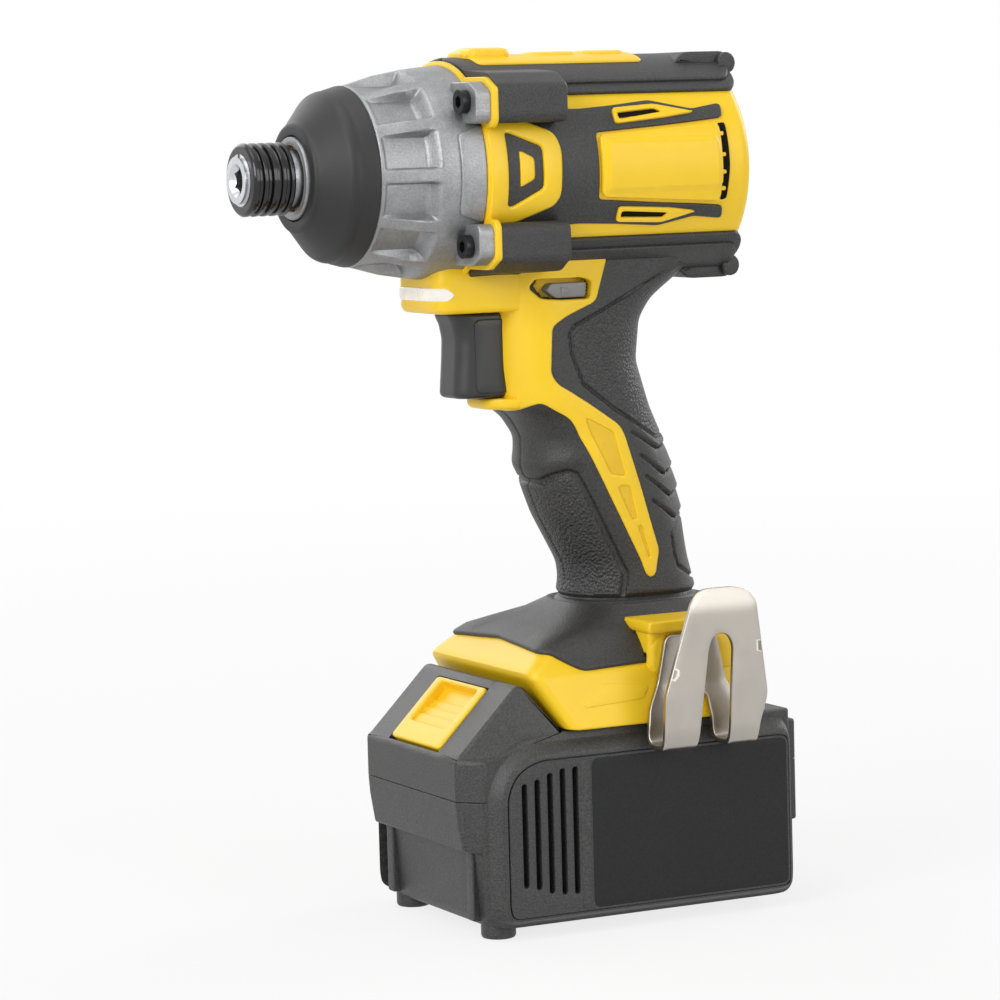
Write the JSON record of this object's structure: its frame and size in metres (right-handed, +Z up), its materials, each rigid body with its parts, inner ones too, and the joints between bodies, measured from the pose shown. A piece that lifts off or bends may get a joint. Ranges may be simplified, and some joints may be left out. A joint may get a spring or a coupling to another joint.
{
  "type": "cordless impact driver",
  "caption": "Pistol-grip cordless impact driver: hammer case with hex bit socket and pull collar, planetary gearbox, brushless motor, trigger, belt hook and slide-on battery.",
  "frame": {"origin": "on the base plane under the four feet, midway between them, in the plane where the housing halves meet", "axes": "+Z up from the feet to the drive axis, -X along the drive axis towards the nose, +Y to the tool's right as held; the belt hook is on the -Y side"},
  "size_m": [0.1585, 0.0851, 0.2414],
  "materials": {
    "yellow_plastic": "satin moulded",
    "grip_rubber": "grained overmould",
    "cast_aluminium": "matte die cast",
    "boot_rubber": "satin",
    "steel": "ground",
    "dark_steel": "black oxide",
    "black_screw": "black oxide",
    "bronze": "sintered bronze",
    "dark_plastic": "moulded",
    "battery_plastic": "fine grain",
    "copper": "enamelled copper wire",
    "circuit_board": "solder mask",
    "brass_contact": "plain",
    "clear_lens": "frosted",
    "trigger_plastic": "fine grain",
    "lead_sleeve": "soft sleeve",
    "plated_sheet": "nickel plated",
    "cell_can": "shrink sleeve"
  },
  "bodies": {
    "tool": {"left_housing": "yellow_plastic", "right_housing": "yellow_plastic", "left_grip": "grip_rubber", "right_grip": "grip_rubber", "top_strip": "yellow_plastic", "hammer_case": "cast_aluminium", "nose_boot": "boot_rubber", "case_screws": "black_screw", "housing_screws": "black_screw", "anvil_bush": "bronze", "thrust_washer": "steel", "ring_gear": "dark_steel", "gearbox_plate": "dark_plastic", "spindle_bearing": "steel", "front_bearing": "steel", "rear_bearing": "steel", "stator": "dark_steel", "windings": "copper", "lamp_lens": "clear_lens", "lamp_board": "circuit_board", "trigger_switch": "dark_plastic", "trigger_spring": "steel", "control_board": "circuit_board", "switch_leads": "lead_sleeve", "terminal_block": "dark_plastic", "terminal_blades": "brass_contact", "belt_hook": "plated_sheet", "hook_screw": "black_screw", "hook_inserts": "brass_contact"},
    "rotor": {"motor_shaft": "steel", "rotor_core": "dark_steel", "fan": "dark_plastic"},
    "spindle": {"spindle": "steel", "planet_pins": "steel", "cam_balls": "steel", "spring_seat": "steel", "hammer_spring": "dark_steel"},
    "planet_1": {"planet_gear_1": "steel"},
    "planet_2": {"planet_gear_2": "steel"},
    "planet_3": {"planet_gear_3": "steel"},
    "hammer": {"hammer": "dark_steel"},
    "anvil": {"anvil": "steel", "stop_ring": "steel", "collar_spring": "steel", "collar_washer": "steel", "snap_ring": "dark_steel", "detent_balls": "steel"},
    "collar": {"bit_collar": "dark_steel"},
    "trigger": {"trigger": "trigger_plastic"},
    "selector": {"direction_selector": "trigger_plastic"},
    "battery": {"battery_upper_case": "battery_plastic", "battery_lower_case": "battery_plastic", "latch_springs": "steel", "battery_cells": "cell_can", "cell_holder": "dark_plastic", "battery_board": "circuit_board", "battery_terminals": "brass_contact", "battery_screws": "black_screw"},
    "button": {"release_button": "yellow_plastic"}
  },
  "joints": [
    {"name": "spindle_spin", "type": "hinge", "parent": "tool", "child": "spindle", "pos_m": [0, 0, 0.2075], "axis": [1, 0, 0], "continuous": true},
    {"name": "rotor_spin", "type": "hinge", "parent": "tool", "child": "rotor", "pos_m": [0, 0, 0.2075], "axis": [1, 0, 0], "continuous": true},
    {"name": "anvil_spin", "type": "hinge", "parent": "tool", "child": "anvil", "pos_m": [0, 0, 0.2075], "axis": [1, 0, 0], "continuous": true},
    {"name": "planet_1_spin", "type": "hinge", "parent": "spindle", "child": "planet_1", "pos_m": [0, 0, 0.19535], "axis": [1, 0, 0], "continuous": true},
    {"name": "planet_2_spin", "type": "hinge", "parent": "spindle", "child": "planet_2", "pos_m": [0, 0.01052, 0.21357], "axis": [1, 0, 0], "continuous": true},
    {"name": "planet_3_spin", "type": "hinge", "parent": "spindle", "child": "planet_3", "pos_m": [0, -0.01052, 0.21357], "axis": [1, 0, 0], "continuous": true},
    {"name": "hammer_retreat", "type": "slide", "parent": "spindle", "child": "hammer", "axis": [1, 0, 0], "range_m": [0, 0.006], "stiffness_N_per_m": 9000, "springref_m": -0.004, "deforming": ["hammer_spring"]},
    {"name": "collar_slide", "type": "slide", "parent": "anvil", "child": "collar", "axis": [-1, 0, 0], "range_m": [0, 0.004], "stiffness_N_per_m": 1500, "springref_m": -0.002, "deforming": ["collar_spring"]},
    {"name": "trigger_pull", "type": "slide", "parent": "tool", "child": "trigger", "axis": [1, 0, 0], "range_m": [0, 0.007], "stiffness_N_per_m": 900, "springref_m": -0.004, "deforming": ["trigger_spring"]},
    {"name": "selector_slide", "type": "slide", "parent": "tool", "child": "selector", "axis": [0, 1, 0], "range_m": [-0.0025, 0.0025]},
    {"name": "battery_slide", "type": "slide", "parent": "tool", "child": "battery", "axis": [-1, 0, 0], "range_m": [0, 0.08]},
    {"name": "button_press", "type": "slide", "parent": "battery", "child": "button", "axis": [0, 0, -1], "range_m": [0, 0.004], "stiffness_N_per_m": 1500, "springref_m": -0.003, "deforming": ["latch_springs"]}
  ],
  "couplings": [
    {"joint": "rotor_spin", "follows": "spindle_spin", "ratio": 6},
    {"joint": "anvil_spin", "follows": "spindle_spin", "ratio": 1},
    {"joint": "planet_1_spin", "follows": "spindle_spin", "ratio": -2.5},
    {"joint": "planet_2_spin", "follows": "spindle_spin", "ratio": -2.5},
    {"joint": "planet_3_spin", "follows": "spindle_spin", "ratio": -2.5}
  ]
}
